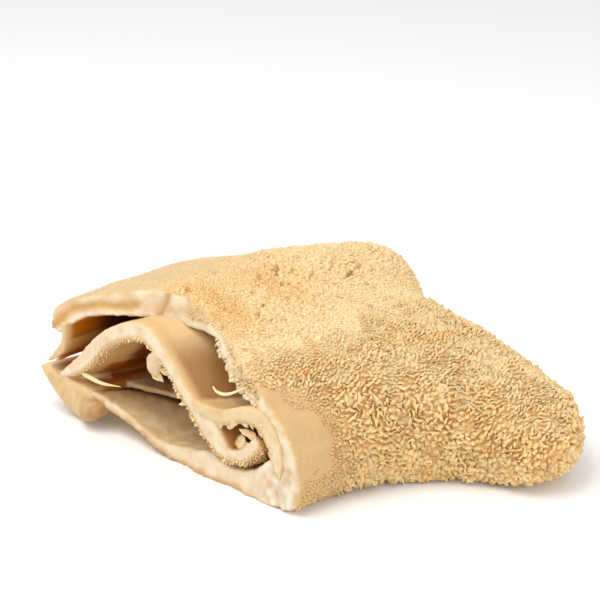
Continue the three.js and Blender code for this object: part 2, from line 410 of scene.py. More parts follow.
# a layer that follows its middle line; a level one keeps its heights further in
def stripPlace(layer, level):
    def lineAt(t):
        return [through(line, t) for line in zip(*layer["line"])]

    def place(u, h, w):
        across, height = lineAt(u)
        (acrossA, heightA), (acrossB, heightB) = lineAt(u - 0.01), lineAt(u + 0.01)
        runAcross, runHeight = acrossB - acrossA, heightB - heightA
        off = (h - 0.5) * through(layer["thick"], u) / np.hypot(runAcross, runHeight)
        along = u * layer["long"]
        uneven = 0.4 * (lineNoise(along + 200 * h, 5, 8) + 0.6 * lineNoise(along, 2.2, 9))
        first, last = layer["depth"]
        depth = mix(first + layer.get("slant", 0) * u, last, w) + 0.006 * uneven * (1 - smooth(w / 0.06))
        drawnIn = np.maximum(0, across - strips["backFold"]) * strips["tipTaper"] * w if level else 0
        height = height + off * runAcross
        x, y, z = foldPoint(across - off * runHeight - drawnIn, height, depth)
        return x, y, height if level else z
    return place


strips = {
    "backFold": 160,
    "tipTaper": 0.8,
    "voxel": 1.03,
    "softenings": 2,
    "innerLayer": {
        "line": ((158, 21), (148, 27), (137, 36), (124, 49), (110, 58), (97, 62), (87, 59), (76, 49),
                 (66, 38), (58, 29), (50, 21.5), (43, 17), (35, 17), (27, 21), (19, 30)),
        "thick": (3, 7, 9, 9, 9, 9, 8, 7.5, 7, 7, 7, 7, 7, 7, 7),
        "depth": (0, 0.58), "long": 190, "cells": (190, 70),
    },
    "upperBranch": {
        "line": ((62, 35), (51, 34.5), (42, 35), (34, 38.5), (26, 41), (18, 40), (11, 33), (8, 24),
                 (7, 15)),
        "thick": (5, 7, 8, 8, 9, 9, 9, 7, 2),
        "depth": (0, 0.58), "long": 75, "cells": (80, 60),
    },
    "turnSwell": {
        "line": ((57, 33), (51.5, 29), (47, 24.5), (42, 20)),
        "thick": (4, 7, 7, 4),
        "depth": (0.002, 0.3), "long": 20, "cells": (24, 40),
    },
    "thinLeaf": {
        "line": ((149, 23.5), (136, 22), (120, 20.5), (104, 20), (88, 22), (78, 27)),
        "thick": (1.5, 2.5, 2.5, 2.5, 3, 3),
        "depth": (0.02, 0.58), "slant": 0.33, "long": 75, "cells": (70, 50),
    },
    "leftLeaf": {
        "line": ((154, 51), (153.5, 45.5), (155, 40), (158.5, 34), (168, 26)),
        "thick": (5, 3, 3.5, 4, 1.5),
        "depth": (0, 0.17), "long": 30, "cells": (34, 26),
    },
    "bottomTip": {
        "line": ((134, 16.5), (147, 17), (160, 18.5), (168, 21.3), (173, 22)),
        "thick": (6, 5, 4.5, 3.5, 1.5),
        "depth": (0, 0.17), "long": 40, "cells": (44, 26),
    },
    "leftNotch": {
        "line": ((157.5, 42), (160, 40), (166, 38), (176, 37)),
        "thick": (2, 9, 15, 18),
        "depth": (-0.05, 0.07), "long": 20, "cells": (24, 14),
    },
    "leftSlit": {
        "line": ((154, 25), (162, 24.6), (170, 24.4), (180, 24.6)),
        "thick": (3, 5, 2.6, 1.5),
        "depth": (-0.05, 0.12), "long": 26, "cells": (26, 14),
    },
}

hanging = {
    "across": (124, 173),
    "top": (15, 15.5, 16.5, 18, 20, 22),
    "low": (10, 2.5, 1.8, 4.5, 12, 20),
    "thick": (8, 8, 4.5, 3.5, 3, 2),
    "bulge": (3, 6, 2, 2.5, 2, 0),
    "pleats": 0.7,
    "pleatSize": 3.4,
    "cells": (60, 10),
}

lump = {
    "at": (87.5, 48.5, 0.004),
    "size": (8, 8, 12),
}


def hangingPlace(u, h, w):
    across = mix(*hanging["across"], u)
    low, top, bulge, thick = (through(hanging[name], u) for name in ("low", "top", "bulge", "thick"))
    height = mix(low, top, h)
    pleats = hanging["pleats"] * (1 - u) * lineNoise(across + 0.3 * height, hanging["pleatSize"], 29)
    back = thick * (w - 0.2) - (bulge * np.sin(np.pi * np.clip(h, 0, 1)) + pleats)
    x, y, _ = foldPoint(across, height, 0 * u)
    return x + inX * back, y + inY * back, height


def foldPlace(across, height, depth):
    return toPart(*foldPoint(*np.array([[across], [height], [depth]], float)))[0]


def lumpObject():
    bm = bmesh.new()
    bmesh.ops.create_uvsphere(bm, u_segments=24, v_segments=16, radius=0.5)
    bmesh.ops.scale(bm, verts=bm.verts, vec=lump["size"])
    bmesh.ops.translate(bm, verts=bm.verts, vec=foldPlace(*lump["at"]))
    bmesh.ops.scale(bm, verts=bm.verts, vec=(mm, mm, mm))
    return newObject("lump", meshFrom(bm, "lump"))


print("folding the outer sheet")
body = mappedBox("body", *outer["cells"], bodyPlace)
hollow = mappedBox("hollow", *outer["hollowCells"], hollowPlace)
cutters = {name: mappedBox(name, *strips[name]["cells"], stripPlace(strips[name], True))
           for name in ("leftSlit", "leftNotch")}
outerSheet = joined("outerSheet", [body["object"]])
for tool in (hollow, cutters["leftSlit"], cutters["leftNotch"]):
    cutAway(outerSheet, tool["object"])
remeshed(outerSheet, outer["voxel"], outer["softenings"])
print("  faces", len(outerSheet.data.polygons))

print("folding the inner layers")
innerParts = {}
for name in ("innerLayer", "upperBranch", "thinLeaf", "leftLeaf", "bottomTip", "turnSwell"):
    level = name in ("leftLeaf", "bottomTip")
    innerParts[name] = mappedBox(name, *strips[name]["cells"], stripPlace(strips[name], level), 3)
innerParts["hangingLeaf"] = mappedBox("hangingLeaf", *hanging["cells"], hangingPlace, 20)
lumpPiece = lumpObject()
innerFolds = joined("innerFolds", [p["object"] for p in innerParts.values()] + [lumpPiece])
remeshed(innerFolds, strips["voxel"], strips["softenings"])
print("  faces", len(innerFolds.data.polygons))


# Colours are given as on a screen, 0 to 255
def tone(r, g, b):
    return np.array([((c / 255 + 0.055) / 1.055) ** 2.4 if c > 10 else c / 255 / 12.92 for c in (r, g, b)])


tones = {
    # the sheet outside
    "coarseGap": (233, 192, 131), "topGap": (229, 193, 136), "bare": (211, 174, 121),
    # the darkest of these paints shade into the sunk slits and pits
    "smoothLeft": (215, 185, 140), "warmGap": (206, 148, 70), "slitShade": (150, 106, 54),
    # between the layers
    # several of these paint shade between the layers: the hump's far slope, saturated orange and brown in
    # shaded places, the dark further in, nooks, holes and the leaves' shade
    "inside": (224, 192, 144), "slopeShade": (164, 116, 62), "ochre": (212, 166, 98),
    "orangeShade": (196, 112, 10), "deepShade": (80, 38, 10), "nookShade": (166, 104, 44), "holeShade": (124, 58, 14),
    "humpUnder": (214, 168, 108), "brownShade": (178, 102, 34), "leafTan": (206, 156, 88),
    "leafShade": (116, 60, 14), "bottomBand": (200, 152, 92), "lump": (222, 194, 164),
    "floorGrey": (238, 200, 142), "floorPale": (254, 230, 188),
    # cut faces and loose ends
    "cut": (231, 208, 173), "lip": (244, 229, 202), "branchCut": (225, 198, 152),
    # the ochre here paints shade into the groove along the left rim
    "fibreWhite": (252, 243, 226), "grooveShade": (208, 157, 82), "cutTan": (186, 136, 78),
    "fibres": (225, 203, 170), "fibreShade": (192, 156, 110), "flap": (222, 190, 142),
    "flapShade": (178, 136, 88), "tick": (214, 140, 70), "under": (222, 186, 132),
    # papillae
    # the pale tones also paint light where the top levels out and where papillae face up
    "coarseRoot": (239, 200, 140), "coarseTip": (244, 214, 156), "topRoot": (236, 202, 148),
    "topTip": (237, 206, 158), "warmRoot": (212, 148, 60), "warmTip": (238, 181, 90),
    "yellowTip": (242, 206, 122), "paleRoot": (240, 211, 164), "paleTip": (238, 214, 163),
    "underRoot": (186, 132, 66), "underTip": (222, 172, 98), "fringeRoot": (228, 190, 132),
    "fringeTip": (246, 222, 172),
}
tones = {name: tone(*rgb) for name, rgb in tones.items()}

zones = {
    "bandStart": 0.23,
    "bandRise": 0.42,
    "bandWide": 0.26,
    "bandSpread": 0.085,
    "bareDepth": 0.13,         # smooth patch beside the front cut edge
    "barePart": 0.19,
    "bareUneven": 0.03,
    "bareFade": 0.19,
    "rimFade": 0.03,           # papillae begin small along the rest of the cut edge
    "rolled": (0.5, 0.16, 0.5),      # they roll over this share of the cut face, between these parts
    "grainHigh": 19.0,         # the patch's lowest part has a fine grain again
    "smoothPart": 0.74,        # almost smooth back left
    "smoothDepth": 0.4,
    "smoothLow": 56.0,
    # warmer spots: part and depth of the middle, how far each way, how strong
    "warmSpots": ((0.52, 0.1, 0.17, 0.12, 1), (0.42, 0.02, 0.14, 0.12, 0.8), (0.66, 0.42, 0.1, 0.12, 0.9)),
}

# slits in the top, sunk and painted dark as shade: both ends in the part's x and y, and how wide
slits = (((-9.5, 28), (-10, 14), 1.0), ((-2.1, 25.8), (-2.8, 17.5), 0.9), ((25, 28), (34, 41.5), 0.9),
         ((-6.6, 8), (-7.3, 2), 0.8), ((-19, 15), (-19.4, 9), 0.7))


# how far each point is in each zone: coarse, grown, smooth left, the band where the top levels out (painted
# paler as light from above, and with smaller nubs), warm and fine
def zonesAt(part, depth, points):
    uneven = softNoise(points, 9, 51) + 0.5 * softNoise(points, 4, 52)
    band = zones["bandStart"] + zones["bandRise"] * depth + 0.03 * uneven
    inPatch = np.maximum(0, 1 - part / zones["barePart"])
    bareEdge = zones["bareDepth"] * inPatch + zones["bareUneven"] * uneven * np.sqrt(inPatch)
    fade = mix(zones["rimFade"], zones["bareFade"], smooth(inPatch / 0.3))
    low = 1 - riseAbout(points[:, 2], zones["grainHigh"], 14)
    grown = np.maximum(smooth((depth - bareEdge + 0.004) / fade), 0.2 * low * smooth(depth / 0.03))
    wander = softNoise(points, 26, 53) + 0.5 * uneven
    smoothLeft = riseAbout(part + 0.05 * wander, zones["smoothPart"], 0.2)
    smoothLeft = smoothLeft * (1 - riseAbout(depth + 0.09 * wander, zones["smoothDepth"], 0.34))
    lowest = mix(edgeAt(part, depth) - 4, zones["smoothLow"], smooth(depth / 0.14))
    smoothLeft = smoothLeft * rise(points[:, 2] + 4 * wander, lowest, 12)
    warm = 0
    for atPart, atDepth, partWide, depthWide, strong in zones["warmSpots"]:
        warm = np.maximum(warm, strong * bump(part, atPart, partWide) * bump(depth, atDepth, depthWide))
    return (riseAbout(band, part, zones["bandWide"]), grown, smoothLeft,
            # the band where the top levels out: its paler colour is painted light from above
            bump(part - band, 0.03, zones["bandSpread"]),
            warm * (0.9 + 0.25 * uneven) * (1 - smoothLeft),
            rise(0.52, depth, 0.3) * rise(part, 0.5, 0.2))


def blurred(mesh, values, turns):      # evens a value out between neighbouring points
    edges = np.zeros(len(mesh.edges) * 2, np.int32)
    mesh.edges.foreach_get("vertices", edges)
    a, b = edges[::2], edges[1::2]
    values = np.asarray(values, float)
    flat = values.reshape(len(values), -1)
    count = np.bincount(edges, minlength=len(flat)) + 1
    for turn in range(turns):
        added = [np.bincount(a, c[b], len(c)) + np.bincount(b, c[a], len(c)) for c in flat.T]
        flat = (flat + np.stack(added, 1)) / count[:, None]
    return flat.reshape(values.shape)


def setTint(mesh, colours):
    attribute = mesh.attributes.new("tint", "FLOAT_COLOR", "POINT")
    rgba = np.ones((len(colours), 4), np.float32)
    rgba[:, :3] = colours
    attribute.data.foreach_set("color", rgba.ravel())


def blend(base, other, share):
    return base + (other - base) * np.asarray(share)[:, None]


def plain(name, points):
    return np.tile(tones[name], (len(points), 1))


def layered(colours, *layers):      # each layer is a tone and how much of it lies over what is below
    for name, share in layers:
        colours = blend(colours, tones[name], share)
    return colours


def alongSlits(points):
    near = np.zeros(len(points))
    for start, end, wide in slits:
        a, b = np.array(start), np.array(end)
        share = np.clip(((points[:, :2] - a) @ (b - a)) / ((b - a) @ (b - a)), 0, 1)
        off = np.linalg.norm(points[:, :2] - a - share[:, None] * (b - a), axis=1)
        near = np.maximum(near, bump(off, 0, wide * (1.2 - 0.7 * np.abs(2 * share - 1))))
    return near


print("marking the outer sheet")
sheet = outerSheet.data
points = coordsOf(sheet)
normals = normalsOf(sheet)
high, upwards = points[:, 2], normals[:, 2]
bodyFar, numbers, bodyCut = traced(body, points)
part, depth, onTop = eased(numbers[:, 0]), rowDepth(numbers[:, 2]), numbers[:, 1] > 0.5
hollowFar, numbers, _ = traced(hollow, points)
hollowFar = np.minimum(hollowFar, traced(cutters["leftSlit"], points)[0])
inAcross, inHigh = mix(*hollowShape["across"], eased(numbers[:, 0])), numbers[:, 1]
inDepth = mix(hollowShape["from"], hollowShape["deep"], numbers[:, 2])
inside = hollowFar < bodyFar
cut = bodyCut & ~inside
floor = inside & (inHigh < 0.5)
wall = np.clip(hollowFar / outer["wall"], 0, 1)
zone = zonesAt(part, depth, points)
coarseZone, grown, smoothLeft, litBand, warm, fineZone = zone
across = part * fold["cutWidth"] - fold["frontBulge"]
outside = ~inside & ~cut
overShare, overFrom, overTo = zones["rolled"]
rolledOver = cut & onTop & (wall > 1 - overShare) & (part > overFrom) & (part < overTo)
cutShare = blurred(sheet, cut, 2)
insideShare = blurred(sheet, inside, 2)
flatUnder = (upwards < -0.8) & (high < 1.5)
pits = rise(softNoise(points * outer["pitStretch"], outer["pitSize"], 75), outer["pitFrom"], 0.14)
pits = pits * (1 - smoothLeft) * (1 - coarseZone) * (1 - litBand)
slitShare = np.maximum(alongSlits(points), 0.75 * pits) * outside * (upwards > 0.3)
fibresAcross, fibresHigh = outer["fibresTo"]
fibrous = cut * (1 - riseAbout(across, fibresAcross, 24)) * (1 - riseAbout(high, fibresHigh, 12))
fibrousShare = blurred(sheet, fibrous, 2)
fibres = softNoise(points * outer["fibreStretch"], 2.6, 26) + 0.5 * softNoise(points, 1.8, 27)
leftRim = cut * rise(part, 0.5, 0.1) * onTop
rimWave = 0.16 * softNoise(points, 7, 35)
rimFold = rise(across, outer["rimFoldAt"], 5)
groove = bump(wall + rimWave, 0.58, 0.24) * leftRim * mix(0.3, 1.5, rimFold)
wrinkle = bump(across + 0.25 * (high - 70), outer["wrinkleAt"], 1.6) * cut * onTop

lumps = outer["lumps"] * softNoise(points, outer["lumpSize"], 5) + 0.35 * softNoise(points, 7, 6)
lift = lumps * blurred(sheet, outside, 4) * (1 - blurred(sheet, flatUnder, 3))
lift -= outer["slitDeep"] * slitShare
grain = softNoise(points, outer["grainSize"], 7) + softNoise(points, outer["grainSize"] * 2.5, 8)
lift += outer["cutGrain"] * grain * cutShare * (1 + 1.6 * fibrousShare) + 0.6 * fibres * fibrousShare
rimBumps = softNoise(points, 5.5, 24) + 0.6 * softNoise(points, 2.6, 25)
lift += outer["rimBumps"] * rimBumps * cutShare * onTop
lift -= outer["grooveDeep"] * blurred(sheet, groove, 1) + outer["wrinkleDeep"] * blurred(sheet, wrinkle, 1)
lift += 0.18 * softNoise(points, 3.0, 9) * insideShare


def moveOut(mesh, points, normals, lift):      # along the normals, but never under the table
    moved = points + normals * lift[:, None]
    moved[:, 2] = np.maximum(moved[:, 2], 0)
    setCoords(mesh, moved)


moveOut(sheet, points, normals, lift)

colours = layered(
    plain("topGap", points),
    ("coarseGap", coarseZone),
    ("warmGap", np.clip(0.85 * warm, 0, 1)),
    ("smoothLeft", smoothLeft),
    # painted light: paler along the band where the top levels out and faces the light
    ("paleRoot", 0.9 * litBand),
    # painted light: coarse skin that faces up takes the lighter top colour
    ("topGap", 0.9 * rise(upwards, 0.55, 0.35) * coarseZone),
    ("bare", 1 - smooth(grown / 0.6)),
    # painted shade in the sunk slits and pits
    ("slitShade", 0.85 * slitShare),
    ("under", 0.6 * flatUnder))

# inside: a mottled floor and an ochre band; painted shade in saturated orange under the roof and on the
# floor's left part, painted shade darkening further in, and a painted shadow in front of the thin leaf's
# edge
mottle = smooth(0.45 + 0.7 * softNoise(points, 3.2, 21) + 0.6 * softNoise(points, 1.5, 37))
floorColours = layered(plain("floorGrey", points), ("floorPale", mottle))
leaf = strips["thinLeaf"]
# where the thin leaf's edge lies, to place the shadow painted in front of it
leafEdge = leaf["depth"][0] + leaf["slant"] * np.clip((149 - inAcross) / 71, 0, 1)
insideColours = layered(
    blend(plain("inside", points), floorColours, floor * smooth(inDepth / 0.05)),
    ("ochre", 0.6 * ~floor * bump(inDepth, 0.05, 0.05)),
    # painted shade, darker further into the hollow
    ("deepShade", rise(inDepth, mix(0.06, 0.2, floor), 0.24)),
    # painted shade in saturated orange under the roof on the left
    ("orangeShade", 0.95 * rise(inAcross, 116, 14) * rise(inDepth, -0.004, 0.03) * (inHigh > 0.3)),
    # painted shadow on the floor in front of the thin leaf's edge
    ("leafShade", 0.8 * floor * rise(inDepth, leafEdge - 0.03, 0.04) * (inAcross > 70)),
    # painted shade in saturated orange on the floor's left part
    ("orangeShade", 0.8 * floor * rise(inAcross, 138, 12) * rise(inDepth, 0.004, 0.02)))

overBottom = high - bottomAt(part, 0 * depth) - 1.2 * softNoise(points, 3.5, 30)
# a band along the cut's bottom edge: the outer skin's colour there, deepened as painted shade
bottomBand = (1 - riseAbout(overBottom, 2.6, 1.6)) * rise(across, 20, 12) * ~onTop
ticks = bump(across, 1.5, 2.6) * bump(high, 21.5, 1.1) + 0.5 * bump(across, 14, 2.5) * bump(high, 14, 1.5)
cutColours = layered(
    plain("cut", points),
    ("lip", 0.6 * smooth(0.4 + softNoise(points, 5, 38))),
    # painted shade in the groove along the left rim
    ("grooveShade", 0.95 * bump(wall + rimWave, 0.58, 0.32) * leftRim * mix(0.3, 1, rimFold)),
    ("lip", bump(wall, 0.12, 0.2) * leftRim),
    ("cutTan", 0.55 * bump(across, 79, 7) * rise(wall, 0.4, 0.25) * onTop),
    # painted shade in the wrinkle
    ("cutTan", 0.6 * wrinkle),
    # the outer skin along the bottom edge, deepened as painted shade
    ("bottomBand", 0.85 * bottomBand),
    ("fibres", fibrous),
    ("fibreWhite", 0.75 * fibrous * smooth(1.5 * fibres)),
    ("fibreShade", 0.6 * fibrous * smooth(-1.5 * fibres - 0.15)),
    ("bottomBand", 0.45 * smooth(softNoise(points, 4, 23) - 0.2) * (1 - fibrous)),
    ("tick", np.clip(0.8 * ticks, 0, 1)))
cutColours = blend(cutColours, tones["topTip"] * 0.9, 0.8 * blurred(sheet, rolledOver, 4))
colours[cut] = cutColours[cut]
colours[inside] = insideColours[inside]
setTint(sheet, blurred(sheet, colours, 1))


# gives the inner layers their colours and grain, and returns where the fringe grows and how large
def dressInner(mesh):
    points = coordsOf(mesh)
    nearest = np.full(len(points), 1e9)
    side, depth, along, front = np.zeros((4, len(points)))
    cut = np.zeros(len(points), bool)
    owner = np.zeros(len(points), int)
    for number, (name, source) in enumerate(innerParts.items()):
        far, numbers, atCut = traced(source, points)
        closer = far < nearest
        layer = strips.get(name, {"depth": (0, 0)})
        u, h, w = numbers.T
        starts = layer["depth"][0] + layer.get("slant", 0) * u
        found = (far, h, mix(starts, layer["depth"][1], w), u, starts, atCut)
        for values, new in zip((nearest, side, depth, along, front, cut), found):
            values[closer] = new[closer]
        owner[closer] = number
    hump, branch, thin, left, tip, swell, hangs = (owner == number for number in range(7))
    isStrip = hump | branch
    # painted shade on the hump's upper side where it slopes away from the light
    slopeShade = hump * (side < 0.5) * rise(along, 0.4, 0.1) * rise(depth, 0.006, 0.03)
    # nooks behind the hump's right end, in the swell and under the branch, painted brown as shade
    nookShade = (hump & (side < 0.5) & (along > 0.66)) | swell | (branch & (side > 0.5))
    underHump = hump * (side > 0.5) * (along < 0.42)
    wander = 0.02 * softNoise(points, 5, 34)
    colours = layered(
        plain("inside", points),
        ("slopeShade", 0.95 * slopeShade),
        ("ochre", 0.6 * isStrip * (side < 0.5) * bump(depth, 0.035, 0.025) * (1 - slopeShade)),
        # painted shade, darker further in
        ("deepShade", rise(depth, 0.16, 0.3)),
        ("underRoot", isStrip * (side > 0.6) * ~cut * rise(along, 0.45, 0.2)),
        # painted shade in the nooks
        ("nookShade", nookShade * rise(depth, 0.004, 0.012)),
        ("humpUnder", underHump),
        # painted shade in brown-orange, deeper under the hump's left end
        ("brownShade", underHump * (1 - riseAbout(along, 0.15, 0.02)) * rise(depth, 0.035, 0.03)),
        # painted shade: a dark hole deeper under the hump
        ("holeShade", underHump * rise(depth + wander, 0.085, 0.03) * rise(along, 0.1, 0.04)))
    colours[thin] = layered(
        plain("floorGrey", points),
        ("floorPale", 0.5 + 0.5 * softNoise(points, 5, 27)),
        # painted shade, darker further behind the thin leaf's front edge
        ("leafShade", 0.7 * rise(depth - front, 0.05, 0.05)),
        # painted shade, darker further behind the thin leaf's front edge
        ("deepShade", rise(depth - front, 0.12, 0.12)))[thin]
    onFlap = left | tip | hangs
    pale = (cut & ~thin) | onFlap
    colours[pale] = layered(
        plain("cut", points),
        ("lip", 0.6 * smooth(0.4 + softNoise(points, 5, 38))),
        ("branchCut", branch * mix(0.85, 0.2, rise(along, 0.62, 0.25))),
        ("bottomBand", 0.5 * smooth(softNoise(points, 4, 39) - 0.15)),
        # along the lower edge of the strips' cut faces: the underside skin's tan, deepened as painted shade
        ("cutTan", bump(side, 0.88, 0.08) * isStrip))[pale]
    behind = left * rise(depth, 0.008, 0.02)
    streaks = smooth(0.5 + softNoise(points * (1, 1, 0.12), 2.4, 28))
    nearLump = np.linalg.norm((points - foldPlace(*lump["at"])) / lump["size"], axis=1) < 0.575
    colours = layered(
        colours,
        ("flap", onFlap),
        ("leafTan", behind),
        # painted shade in saturated orange on the left leaf, behind its cut edge
        ("orangeShade", behind * (1 - riseAbout(along, 0.37, 0.04))),
        # painted shade in a crease across the left leaf
        ("leafShade", behind * bump(along, 0.4, 0.025)),
        # painted shade, darker further into the left leaf
        ("leafShade", left * rise(depth, 0.07, 0.05)),
        # painted shade in brown-orange, deeper on the bottom tip under the layer above
        ("brownShade", 0.9 * tip * rise(depth, 0.01, 0.04)),
        ("flapShade", hangs * np.clip(0.35 * streaks + 0.75 * (1 - riseAbout(along, 0.22, 0.4)), 0, 1)),
        ("lump", 0.9 * nearLump))
    setTint(mesh, blurred(mesh, colours, 1))
    grain = outer["cutGrain"] * softNoise(points, outer["grainSize"], 17) * blurred(mesh, cut, 2)
    grain += 0.2 * softNoise(points, 4.0, 18) + 0.7 * softNoise(points, 3.0, 19) * nearLump
    moveOut(mesh, points, normalsOf(mesh), grain)
    onHump = hump & (along < 0.5)
    here = hump & (along > 0.09) & (side > 0.75) & (depth < np.where(onHump, 0.022, 0.3)) & ~nearLump
    size = mix(0.7, 1.0, np.exp(-depth / 0.04)) * np.where(onHump, 0.75, 1)
    return here, size * (0.85 + 0.4 * softNoise(points, 5, 36)), depth


print("marking the inner layers")
fringeHere, fringeSize, innerDepth = dressInner(innerFolds.data)


# Papillae: for each form the ends between which its values are drawn, once for every variant

papillaForms = {
    "petal": {
        "segments": 5, "rings": 5, "wide": (0.8, 1.15), "thick": (0.26, 0.4), "spoon": (0.05, 0.45),
        "curl": (0.1, 0.7), "skew": (-0.3, 0.3), "notch": (0.0, 0.16), "uneven": 0.05, "variants": 7},
    "nub": {
        "segments": 6, "rings": 4, "wide": (0.75, 1.2), "thick": (0.6, 1.1), "spoon": (0, 0),
        "curl": (-0.2, 0.3), "skew": (-0.3, 0.3), "notch": (0, 0.05), "uneven": 0.07, "variants": 7},
    "thorn": {
        "segments": 5, "rings": 4, "wide": (0.8, 1.2), "thick": (0.4, 0.7), "spoon": (0, 0.2),
        "curl": (0.0, 0.5), "skew": (-0.3, 0.3), "notch": (-0.3, -0.1), "uneven": 0.07, "variants": 6},
}
drawnValues = ("wide", "thick", "spoon", "curl", "skew", "notch")


def papillaForm(kind, drawFrom):      # stands on z = 0 and is 1 high
    value = {key: drawFrom.uniform(*kind[key]) for key in drawnValues}
    bm = bmesh.new()
    bmesh.ops.create_uvsphere(bm, u_segments=kind["segments"], v_segments=kind["rings"], radius=0.5)
    bmesh.ops.translate(bm, verts=bm.verts, vec=(0, 0, 0.5))
    bmesh.ops.triangulate(bm, faces=bm.faces)
    for v in bm.verts:
        x, y, z = v.co
        fuller = 1 + 0.5 * math.sin(math.pi * min(1, max(0, z)) ** 0.8)
        x *= value["wide"] * fuller
        y *= value["thick"] * fuller
        y += value["spoon"] * x * x * 2 + value["curl"] * z * z
        x += value["skew"] * z * z
        if z > 0.99:
            z -= value["notch"]
        rough = Vector(drawFrom.normal(size=3)) * kind["uneven"] * min(1, 2 * max(0, z))
        v.co = Vector((x, y, z)) + rough
    bmesh.ops.recalc_face_normals(bm, faces=bm.faces)
    bm.verts.index_update()
    points = np.array([v.co[:] for v in bm.verts])
    corners = np.array([[v.index for v in f.verts] for f in bm.faces])
    bm.free()
    return points, corners


def formsOf(kind, drawFrom):
    return [papillaForm(kind, drawFrom) for variant in range(kind["variants"])]


# points spread over a mesh, never nearer to each other than the spacing where they are
def spread(mesh, chosen, spacing, tries, drawFrom):
    quads = np.zeros(len(mesh.polygons) * 4, np.int32)
    mesh.loops.foreach_get("vertex_index", quads)
    quads = quads.reshape(-1, 4)
    corner = coordsOf(mesh)[quads]
    area = 0.5 * np.linalg.norm(np.cross(corner[:, 2] - corner[:, 0], corner[:, 3] - corner[:, 1]), axis=1)
    wanted = chosen.astype(float)[quads].mean(1) > 0.5
    weight = area * wanted / spacing[quads].mean(1) ** 2
    picked = drawFrom.choice(len(quads), tries, p=weight / weight.sum())
    s, t = drawFrom.random(tries), drawFrom.random(tries)
    share = np.stack([(1 - s) * (1 - t), s * (1 - t), s * t, (1 - s) * t], 1)
    places = (corner[picked] * share[:, :, None]).sum(1)
    vertex = quads[picked, share.argmax(1)]
    gap = spacing[vertex]
    cells = np.floor(places / gap.max()).astype(int).tolist()
    steps = list(np.ndindex(3, 3, 3))
    grid = {}
    kept = []
    for i, ((x, y, z), (cx, cy, cz), limit) in enumerate(zip(places.tolist(), cells, (gap * gap).tolist())):
        near = (p for a, b, c in steps for p in grid.get((cx + a - 1, cy + b - 1, cz + c - 1), ()))
        if all((px - x) ** 2 + (py - y) ** 2 + (pz - z) ** 2 >= limit for px, py, pz in near):
            grid.setdefault((cx, cy, cz), []).append((x, y, z))
            kept.append(i)
    return places[kept], vertex[kept]


def unit(v):
    return v / np.maximum(np.linalg.norm(v, axis=-1, keepdims=True), 1e-9)


# one mesh of many papillae: each has a place, an upward axis, a lean and its sizes
def papillaMesh(name, forms, places, up, towards, wide, high, sunk, rootColour, tipColour, drawFrom):
    side = unit(np.cross(up, towards))
    back = np.cross(side, up)
    pick = drawFrom.integers(0, len(forms), len(places))
    local = np.array([points for points, corners in forms])[pick]
    x, y = local[:, :, 0] * wide[:, None], local[:, :, 1] * wide[:, None]
    z = (local[:, :, 2] - sunk) * high[:, None]
    moves = x[:, :, None] * side[:, None] - y[:, :, None] * back[:, None] + z[:, :, None] * up[:, None]
    points = (places[:, None] + moves).reshape(-1, 3)
    points[:, 2] = np.maximum(points[:, 2], 0)
    rim = smooth((np.clip(local[:, :, 2], 0, 1) - sunk) / (1 - sunk))
    tint = mix(rootColour[:, None], tipColour[:, None], rim[:, :, None])
    firsts = local.shape[1] * np.arange(len(places))      # all forms of one kind have the same faces
    corners = (forms[0][1] + firsts[:, None, None]).reshape(-1, 3)
    mesh = bpy.data.meshes.new(name)
    mesh.vertices.add(len(points))
    mesh.loops.add(corners.size)
    mesh.polygons.add(len(corners))
    mesh.vertices.foreach_set("co", (points * mm).astype(np.float32).ravel())
    mesh.loops.foreach_set("vertex_index", corners.astype(np.int32).ravel())
    mesh.polygons.foreach_set("loop_start", np.arange(0, corners.size, 3, dtype=np.int32))
    mesh.update(calc_edges=True)
    mesh.validate()
    mesh.shade_smooth()
    setTint(mesh, tint.reshape(-1, 3))
    print("  ", name, len(places), "papillae,", len(corners), "triangles")
    return newObject(name, mesh)


# sizes in mm; lean in radians from the surface's normal; sunk is the share below the surface; they follow
# a flow over the surface with some bias and stray, and clump together: ridge is how much the lean changes
# from clump to clump, and swell how much the root's height does
coarse = {"spacing": 1.85, "wide": (2.0, 3.7), "high": (3.1, 4.9), "lean": (0.7, 1.15), "sunk": 0.38,
          "flow": 1.0, "flowSize": 13, "bias": (0.45, 0.0, -0.55), "stray": 0.4,
          "ridge": 0.5, "swell": 0.8, "clump": 5.0, "from": 0.35}
topNubs = {"spacing": 1.8, "wide": (1.8, 3.0), "high": (1.3, 2.4), "lean": (0.1, 0.6), "sunk": 0.56,
           "flow": 0.6, "flowSize": 20, "bias": (0, 0, 0), "stray": 0.8,
           "ridge": 0.1, "swell": 0.3, "clump": 6.0}
fineNubs = {**topNubs, "spacing": 1.25, "wide": (1.1, 1.7), "high": (1.1, 1.8), "sunk": 0.58,
            "flow": 0.5, "swell": 0.2, "clump": 5.0}
fringe = {**fineNubs, "spacing": 1.05, "wide": (0.8, 1.9), "high": (1.3, 3.1), "lean": (0.1, 1.1),
          "sunk": 0.4, "flow": 0.3, "flowSize": 10, "bias": (-0.7, -0.7, -0.2), "stray": 0.6}
tags = {**fineNubs, "spacing": 1.4, "wide": (1.5, 3.2), "high": (1.4, 3.6), "lean": (0.4, 1.2),
        "sunk": 0.35, "flow": 0.3, "flowSize": 8, "bias": (-0.4, -0.4, -1.2), "stray": 0.4}


# darkens each papilla by a random tone, and by the painted clump shade where it is given
def shadedPair(root, tip, least, more, drawFrom, clumpShade=1):
    shade = ((least + more * drawFrom.random(len(tip))) * clumpShade)[:, None]
    return root * shade, tip * shade


